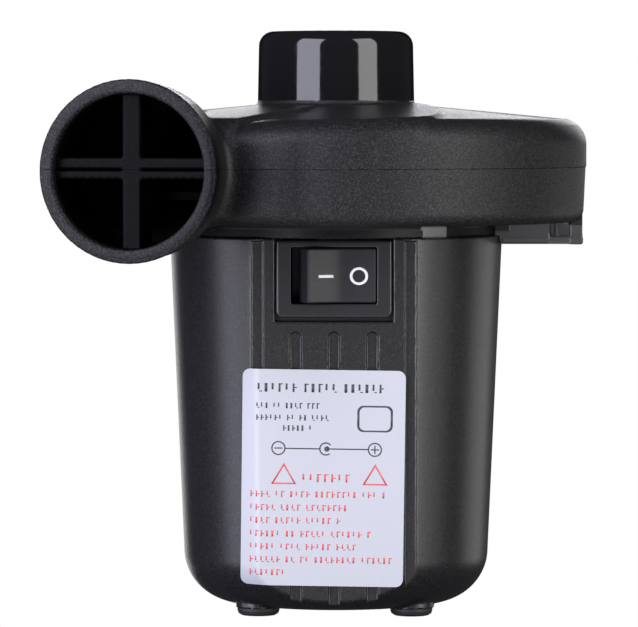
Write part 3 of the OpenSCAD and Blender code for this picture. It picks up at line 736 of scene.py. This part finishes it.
for piece, ob in NODES.items():
    paint(ob, PIECE_MATERIAL[piece])
for piece, width in EDGE_WIDTHS.items():
    bevel = NODES[piece].modifiers.new("edge", "BEVEL")
    bevel.width = width * MM
    bevel.segments = 2
    bevel.limit_method = "ANGLE"
    bevel.angle_limit = math.radians(40)
    bevel.harden_normals = True


# ---------------------------------------------------------------- casing shells
def ease_rim(rim, upper):
    """Tiny chamfer on the outside of the seam."""
    inset, probe = (0.11, 0.1) if upper else (0.09, -0.1)
    for v in {v for e in rim for v in e.verts}:
        x, y = v.co.x / MM, v.co.y / MM
        if (math.hypot(x - SCROLL_X, y - SCROLL_Y) > SCROLL_R - 1.0
                or x * PIPE_DIR[0] + y * PIPE_DIR[1] > 30):
            slope = gradient(casing, np.array([[x, y, SEAM + probe]]), 0.03)[0]
            length = math.hypot(slope[0], slope[1])
            if length > 1e-6:
                v.co.x -= slope[0] / length * inset * MM
                v.co.y -= slope[1] / length * inset * MM


def split_shell(source, name, upper):
    """One half of the casing, closed at the seam, its rim eased by a tiny chamfer."""
    bm = bmesh.new()
    bm.from_mesh(source.data)
    sign = 1 if upper else -1
    seam = (SEAM - FLOOR_DROP) * MM
    # the first cut only adds the chamfer's far edge, the second parts the halves
    for height, clear in ((seam + 0.13 * MM * sign, False), (seam, True)):
        bmesh.ops.bisect_plane(bm, geom=bm.verts[:] + bm.edges[:] + bm.faces[:],
                               plane_co=(0, 0, height), plane_no=(0, 0, 1), dist=1e-8,
                               clear_inner=clear and upper, clear_outer=clear and not upper)
    rim = [e for e in bm.edges if len(e.link_faces) == 1]
    ease_rim(rim, upper)
    fill = bmesh.ops.triangle_fill(bm, use_beauty=True, use_dissolve=False, edges=rim,
                                   normal=(0, 0, -sign))
    # the fill also spans the fan chamber and the bore: open them again
    cap = [f for f in fill["geom"] if isinstance(f, bmesh.types.BMFace)]
    middle = np.array([f.calc_center_median()[:] for f in cap]) / MM
    gap = casing(middle[:, 0], middle[:, 1], np.full(len(cap), SEAM + 0.02 * sign))
    bmesh.ops.delete(bm, geom=[f for f, d in zip(cap, gap) if d > 0.02], context="FACES")
    me = bpy.data.meshes.new(name)
    bm.to_mesh(me)
    bm.free()
    return link_object(name, me)


def casing_upper(x, y, z):
    return casing(x, y, both(z, SEAM + 0.02), NECK_SHADING_DRAFT)


def casing_lower(x, y, z):
    return casing(x, y, either(z, SEAM - 0.02), NECK_SHADING_DRAFT)


SHELL_SLOTS = ("black_grained", "black_gloss", "duct_painted_shade", "black_collar", "lug_painted_glow",
               "black_roof", "black_rim", "highlight_painted_glow")


def paint_shell(ob):
    """Give each face the material of its region; the first region that holds it wins."""
    paint(ob, *SHELL_SLOTS)
    faces = ob.data.polygons
    centre = read_vectors(faces, "center") / MM
    centre[:, 2] += FLOOR_DROP
    x, y, z = centre.T
    radius = np.hypot(x, y)
    along, across = pipe_coords(x, y)
    off_pipe = np.hypot(across, z - PIPE_Z)
    collar = (radius < 30.6) & (z < SCROLL_BOTTOM - 0.1) & (z > CUP_TOP - 0.3)
    lug_post = np.hypot(x - SCREWS[0][0], y - SCREWS[0][1]) < 2.8
    # painted highlight: a spot on the collar and the top of the lug's post, where a lamp's
    # reflection falls
    highlight_painted_faces = collar & (x > 16.2) & (x < 20.6) & (y < 0)
    highlight_painted_faces |= lug_post & (z > 70.6) & (z < SCROLL_BOTTOM + 0.2)
    regions = (
        ("black_rim", (along > 53.4) & (off_pipe > 13.6)),
        # painted shade: the mouth's bore and ribs take the darkened copy
        ("duct_painted_shade", (along > 40) & (off_pipe < 14.3)),
        ("highlight_painted_glow", highlight_painted_faces),
        ("black_gloss", (radius < 15.4) & (z > ROOF + 0.65)),
        ("black_collar", collar),
        # painted light: the lug under the scroll takes the lightened, glowing finish
        ("lug_painted_glow", (x > 24) & (z < SCROLL_BOTTOM - 0.3) & (radius > 30.6)),
        ("black_roof", (read_vectors(faces, "normal")[:, 2] > 0.75) & (z > 89.5)),
    )
    slot = np.select([mask for _, mask in regions],
                     [SHELL_SLOTS.index(name) for name, _ in regions], 0)
    faces.foreach_set("material_index", slot.astype(np.int32))


# grid steps: general, and finer round the outlet
step = 0.52
fine = 0.34
whole = quad_object("casing_tmp", *surface_nets(
    casing,
    ticks((-59, -18, fine), (-18, 50, step)),
    ticks((-66, -43, fine), (-43, 49, step)),
    ticks((66.2, 82.9, step), (82.9, 84.3, 0.2), (84.3, 110, step))))
for name, upper, node in (("scroll_upper_shell", True, "upper_scroll"),
                          ("scroll_lower_shell", False, "lower_scroll")):
    shell = split_shell(whole, name, upper)
    shape_normals(shell, casing_upper if upper else casing_lower,
                  flat=lambda points: np.abs(points[:, 2] - SEAM) < 0.05)
    paint_shell(shell)
    hand_over(shell, node)
bpy.data.objects.remove(whole)

# ---------------------------------------------------------------- housing and switch
coarse = 1
fine = 0.2 * coarse
# object, shape, material, CAD piece, what it moves with, grid lines in x, y and z
for name, shape, finish, node, rides, lines in (
        ("housing_shell", housing, "black_fine_grained", "motor_housing", "casing", (
            ticks((-33, -16, 0.6 * coarse), (-16, 16, 0.28 * coarse), (16, 33, 0.6 * coarse)),
            ticks((-33, -29.5, 0.6 * coarse), (-29.5, -22.5, 0.28 * coarse),
                  (-22.5, 33, 0.7 * coarse)),
            ticks((-0.2, 12, 0.55 * coarse), (12, 50, 0.7 * coarse), (50, 72, 0.3 * coarse),
                  (72, 74, 0.6)))),
        ("switch_shell", bezel, "black_satin", "switch_body", "casing", (
            ticks((-11.2, 11.2, fine)),
            ticks((-28.6, -25.4, 0.16 * coarse), (-25.4, -16.5, 0.4 * coarse)),
            ticks((SWITCH_Z - 8.3, SWITCH_Z + 7, fine)))),
        ("rocker_cap", rocker, "rocker_grained", "switch_rocker", "rocker", (
            ticks((-8.4, 8.8, fine)),
            ticks((-31.2, -20.0, fine)),
            ticks((SWITCH_Z - 6, SWITCH_Z + 6, fine))))):
    ob = shape_object(name, shape, *lines)
    paint(ob, finish)
    hand_over(ob, node, rides)

# ---------------------------------------------------------------- rocker marks
BAR_U, RING_U, MARK_UP = 2.8, 3.3, -0.09     # off the middle: left, right; height
BAR_HALF = (1.45, 0.27)                      # half length, half height
RING_RADII = (1.16, 1.40, 1.64)


def rocker_point(u, up, off):
    """Point on the rocker's face, u to the right and off mm proud."""
    v = rocker_face(u) - off
    c, s = math.cos(SWING), math.sin(SWING)
    return (c * u - s * v, PIVOT_Y + s * u + c * v, SWITCH_Z + up)


bar = [[(-BAR_U + a, MARK_UP + b) for b in (-BAR_HALF[1], BAR_HALF[1])]
       for a in np.linspace(-BAR_HALF[0], BAR_HALF[0], 5)]
ring = [[(RING_U + r * math.cos(t), MARK_UP + r * math.sin(t)) for r in RING_RADII]
        for t in (2 * math.pi * k / 48 for k in range(48))]
for ob in (sheets_object("rocker_mark_bar", [sheet(bar, rocker_point, 0.035, -0.05)]),
           ring_object("rocker_mark_ring", *sheet(ring, rocker_point, 0.035, -0.05))):
    paint(ob, "mark_white")
    hand_over(ob, "switch_rocker", "rocker", replace=False)

# ---------------------------------------------------------------- label
LABEL_X, LABEL_Z = (-17.1, 12.95), (6.5, 46.6)
LABEL_CORNER, LABEL_TURN = 1.4, math.radians(-0.8)
LABEL_MID_X, LABEL_MID_Z = sum(LABEL_X) / 2, sum(LABEL_Z) / 2
HALF_W, HALF_H = (LABEL_X[1] - LABEL_X[0]) / 2, (LABEL_Z[1] - LABEL_Z[0]) / 2


def label_y(x, z, off):
    """Front panel, then round the housing's left side where the sheet bends back."""
    y = panel_y(z)
    if x < 0:
        radius = cup_r(z)
        edge_top = CUP_BOTTOM + CUP_EDGE
        if z < edge_top:
            radius = (cup_r(edge_top) - CUP_EDGE
                      + math.sqrt(max(0.0, CUP_EDGE * CUP_EDGE - (edge_top - z) ** 2)))
        side = -math.sqrt(max(radius * radius - x * x, 0.0))
        soft = 0.35
        h = max(soft - abs(y - side), 0.0) / soft
        y = max(y, side) + h * h * soft * 0.25
    return y - off


def label_point(a, b, off):
    """Sheet coordinates a across, b up, from the sheet's middle."""
    x = LABEL_MID_X + a * math.cos(LABEL_TURN) - b * math.sin(LABEL_TURN)
    z = LABEL_MID_Z + a * math.sin(LABEL_TURN) + b * math.cos(LABEL_TURN)
    return (x, label_y(x, z, off), z)


def label_rows():
    """Rows across the sheet from top to bottom, shortened at its rounded corners."""
    straight = HALF_H - LABEL_CORNER
    top = [straight + LABEL_CORNER * math.sin(t) for t in np.linspace(math.pi / 2, 0, 7)]
    heights = top + list(np.linspace(straight, -straight, 60))[1:-1] + [-b for b in top[::-1]]
    parts = np.concatenate([np.linspace(0, 0.3, 34), np.linspace(0.3, 1, 24)[1:]])
    rows = []
    for b in heights:
        over = max(0.0, abs(b) - straight)
        half = HALF_W - LABEL_CORNER + math.sqrt(max(0.0, LABEL_CORNER ** 2 - over * over))
        rows.append([(-half + 2 * half * p, b) for p in parts])
    return rows


label = sheets_object("label_sheet", [sheet(label_rows(), label_point, 0.16, 0.03)])
label.data.polygons.foreach_set("use_smooth", [True] * len(label.data.polygons))
label.data.set_sharp_from_angle(angle=math.radians(40))
paint(label, "label_sheet")
hand_over(label, "rating_label")


# Printed marks, in sheet millimetres: neutral strokes in rows, no readable lettering
def ink(rows):
    return sheet(rows, label_point, 0.185, 0.15)


def ink_box(left, right, top, bottom):
    n = max(2, int(abs(right - left)) + 2)
    return ink([[(a, top), (a, bottom)] for a in np.linspace(left, right, n)])


CROSS_STROKE = 0.18416      # thickness of the level strokes


def stroke_row(left, right, middle, height, seed, pitch, wide, gaps=True):
    """A row of short upright strokes, some with a level one, with word gaps."""
    out = []
    a, top = left, middle + height / 2
    state = seed
    word = 3 + seed % 5
    while a < right - wide:
        state = (state * 1103515245 + 12345) & 0x7fffffff
        kind = (state >> 8) % 5
        tall = height * (1.0 if kind < 3 else 0.72)
        out.append(ink_box(a, a + wide * (1.5 if kind == 1 else 1.0), top, top - tall))
        if kind in (0, 2, 4):
            level = top - {0: 0.0, 2: height * 0.42, 4: height - CROSS_STROKE}[kind]
            out.append(ink_box(a + wide, a + pitch * 0.62, level, level - CROSS_STROKE))
        a += pitch
        word -= 1
        if gaps and word <= 0:
            a += pitch * 0.7
            word = 2 + (state >> 12) % 7
    return out


def circle_marks(a, b, inner, outer, n=28):
    """Ring of n segments, clockwise from the right."""
    turns = [2 * math.pi * k / n for k in range(n + 1)]
    return [ink([[(a + r * math.cos(t), b - r * math.sin(t)) for r in (inner, outer)]
                 for t in pair]) for pair in zip(turns, turns[1:])]


def outline_marks(points, thick):
    """Closed outline, its inner edge the outer one shrunk about the middle."""
    mid_a = sum(p[0] for p in points) / len(points)
    mid_b = sum(p[1] for p in points) / len(points)
    sides = list(zip(points, points[1:] + points[:1]))
    reach = min(abs((q[0] - p[0]) * (p[1] - mid_b) - (p[0] - mid_a) * (q[1] - p[1]))
                / math.hypot(q[0] - p[0], q[1] - p[1]) for p, q in sides)
    f = 1 - thick / reach
    return [ink([[p, (mid_a + (p[0] - mid_a) * f, mid_b + (p[1] - mid_b) * f)] for p in side])
            for side in sides]


def rounded(left, right, top, bottom, r, n=5):
    """Rounded rectangle, clockwise from the top right corner."""
    corners = ((right - r, top - r, -90), (right - r, bottom + r, 0),
               (left + r, bottom + r, 90), (left + r, top - r, 180))
    return [(a + r * math.cos(math.radians(start + 90 * i / n)),
             b - r * math.sin(math.radians(start + 90 * i / n)))
            for a, b, start in corners for i in range(n + 1)]


def symbol_row():
    """Three circles joined by lines: minus at the left, a dot amid, plus at the right."""
    radii = (1.08656, 1.31676)
    minus_a, minus_b = -8.25046, 5.46961
    plus_a, plus_b = 9.52118, 5.39595
    dot_b = 5.43278
    arm, half = 0.75506, 0.1105      # half length and half thickness of the signs
    out = circle_marks(minus_a, minus_b, *radii) + circle_marks(plus_a, plus_b, *radii)
    # the middle ring is open at the right
    out += circle_marks(0.49724, dot_b, 0.99448, 1.23389)[4:-3]
    out += circle_marks(0.6814, dot_b, 0.0, 0.49724, 16)
    out += [ink_box(-6.94291, -0.6814, dot_b + half, dot_b - half),
            ink_box(1.16022, 8.23204, dot_b + half, dot_b - half)]
    out += [ink_box(a - arm, a + arm, b + half, b - half)
            for a, b in ((minus_a, minus_b), (plus_a, plus_b))]
    out += [ink_box(plus_a - half, plus_a + half, plus_b + arm, plus_b + half),
            ink_box(plus_a - half, plus_a + half, plus_b - half, plus_b - arm)]
    return out


def dark_print():
    out = stroke_row(-12.20994, 12.28361, 16.66667, height=1.56538, seed=3,
                     pitch=1.28913, wide=0.34991)
    # left, right, middle height, seed
    for left, right, middle, seed in ((-12.39411, -0.60773, 13.35175, 5),
                                      (-12.39411, 1.04972, 11.1418, 8),
                                      (-7.42173, -1.71271, 9.2081, 12)):
        out += stroke_row(left, right, middle, height=1.01289, seed=seed,
                          pitch=0.847145, wide=0.22099)
    out += symbol_row()
    frame_points = rounded(6.20626, 12.74401, 13.53591, 8.65562, 1.10497)
    return out + outline_marks(frame_points, thick=0.29466)


def red_print():
    out = []
    top, bottom, half = 2.76243, -1.19705, 2.32044
    for a in (-7.20074, 9.63168):
        out += outline_marks([(a, top), (a + half, bottom), (a - half, bottom)],
                             thick=0.27624)
    out += stroke_row(-3.73849, 5.65378, 0.0, height=1.4733, seed=21,
                      pitch=1.32597, wide=0.31308, gaps=False)
    # middle height, right end, seed
    for middle, right, seed in ((-3.03867, 11.54696, 31), (-5.52486, 5.65378, 37),
                                (-7.91897, 3.25967, 41), (-10.40516, 9.52118, 43),
                                (-12.79926, 7.31123, 47), (-15.19337, 13.20442, 53),
                                (-17.58748, -6.50092, 59)):
        out += stroke_row(-13.31492, right, middle, height=1.10497, seed=seed,
                          pitch=0.994475, wide=0.2302)
    return out


for name, marks, finish in (("label_print_dark", dark_print(), "print_dark"),
                            ("label_print_red", red_print(), "print_red")):
    ob = sheets_object(name, marks)
    paint(ob, finish)
    hand_over(ob, "rating_label", replace=False)


# ---------------------------------------------------------------- camera
ELEVATION, AZIMUTH = math.radians(2.6), math.radians(1.0)
DISTANCE = 0.850            # m
AIM_HEIGHT = 55.74          # mm above the floor
AIM_LEFT = 3.225806         # mm to the left of the axis
forward = Vector((-math.sin(AZIMUTH) * math.cos(ELEVATION),
                  math.cos(AZIMUTH) * math.cos(ELEVATION), -math.sin(ELEVATION)))
right = Vector((math.cos(AZIMUTH), math.sin(AZIMUTH), 0))
aim = Vector((0, 0, (AIM_HEIGHT - FLOOR_DROP) * MM)) - right * (AIM_LEFT * MM)
camera_data = bpy.data.cameras.new("cam")
camera = link_object("cam", camera_data)
scene.camera = camera
camera_data.sensor_fit = "HORIZONTAL"
camera_data.sensor_width = 36.0
camera_data.lens = 252.761755
camera_data.clip_start = 0.01
camera.location = aim - forward * DISTANCE
camera.rotation_euler = forward.to_track_quat("-Z", "Y").to_euler()


# ---------------------------------------------------------------- lights, metres
def rectangle_light(name, width, height, radiance, color=(1, 1, 1)):
    data = bpy.data.lights.new(name, "AREA")
    data.shape = "RECTANGLE"
    data.size, data.size_y = width, height
    data.energy = radiance * math.pi * width * height
    data.color = color
    ob = link_object(name, data)
    ob.visible_camera = False
    return ob


def aimed_light(name, az, el, away, aim_z, **light):
    """Light aimed at the axis, az degrees to the left of the front; aim_z is off the floor."""
    ob = rectangle_light(name, **light)
    az, el = math.radians(az), math.radians(el)
    out = Vector((-math.sin(az) * math.cos(el), -math.cos(az) * math.cos(el), math.sin(el)))
    ob.location = Vector((0, 0, aim_z - FLOOR_DROP * MM)) + out * away
    ob.rotation_euler = (-out).to_track_quat("-Z", "Y").to_euler()


aimed_light("soft_left", az=41.0, el=16, away=0.95, aim_z=0.075, width=0.61, height=1.20,
            radiance=6.5, color=(0.90, 0.90, 1.08))
aimed_light("soft_right", az=-49.0, el=16, away=0.95, aim_z=0.075, width=0.50, height=1.20,
            radiance=5.3, color=(1.0, 0.995, 0.99))
aimed_light("back_wall", az=180, el=9.0, away=1.1, aim_z=0.094, width=1.1, height=0.30,
            radiance=5.6, color=(1.0, 0.99, 1.03))
# low cards beside and behind the object, below the neck's horizon
for name, az, width, radiance, color in (
        ("card_left", 76, 0.176, 3.5, (0.93, 0.92, 1.08)),
        ("card_right", -74, 0.176, 1.1, (1, 1, 1)),
        ("card_right_back", -125, 0.27, 1.05, (1, 1, 1)),
        ("card_left_back", 160, 0.17, 1.6, (1, 1, 1))):
    aimed_light(name, az=az, el=0, away=0.5, aim_z=-0.015, width=width, height=0.19,
                radiance=radiance, color=color)
# level light facing up, in front of the object
table = rectangle_light("table_front", width=0.5, height=0.69, radiance=0.75)
table.location = (0, -0.405, -0.012 - FLOOR_DROP * MM)
table.rotation_euler = (math.pi, 0, 0)

# a dark card between the left light and the casing's front, out of the camera's sight
flag = sheets_object("light_flag", [tuple(
    np.array([[(x, y, z) for z in (66.0, 93.5)] for x, y in ends])
    for ends in (((-11.0, -54.0), (-34.0, -76.0)), ((-11.2, -54.3), (-34.2, -76.3))))])
flag.data.materials.append(material("flag_black", (0.003, 0.003, 0.003), rough=0.9, spec=0.0))
flag.visible_camera = False

# ---------------------------------------------------------------- world and view
world = bpy.data.worlds.new("studio")
scene.world = world
world.use_nodes = True
tree = world.node_tree
tree.nodes.clear()
output = tree.nodes.new("ShaderNodeOutputWorld")
mix = tree.nodes.new("ShaderNodeMixShader")
path = tree.nodes.new("ShaderNodeLightPath")
tree.links.new(path.outputs["Is Camera Ray"], mix.inputs["Fac"])
# a dim sky lights the object, the camera sees plain white
for i, color, strength in ((1, (0.9, 0.93, 1.0, 1), 0.05), (2, (1, 1, 1, 1), 1.0)):
    sky = tree.nodes.new("ShaderNodeBackground")
    sky.inputs["Color"].default_value = color
    sky.inputs["Strength"].default_value = strength
    tree.links.new(sky.outputs["Background"], mix.inputs[i])
tree.links.new(mix.outputs["Shader"], output.inputs["Surface"])
scene.view_settings.view_transform = "Standard"
scene.view_settings.look = "None"
scene.view_settings.exposure = 0.0
scene.view_settings.gamma = 1.0
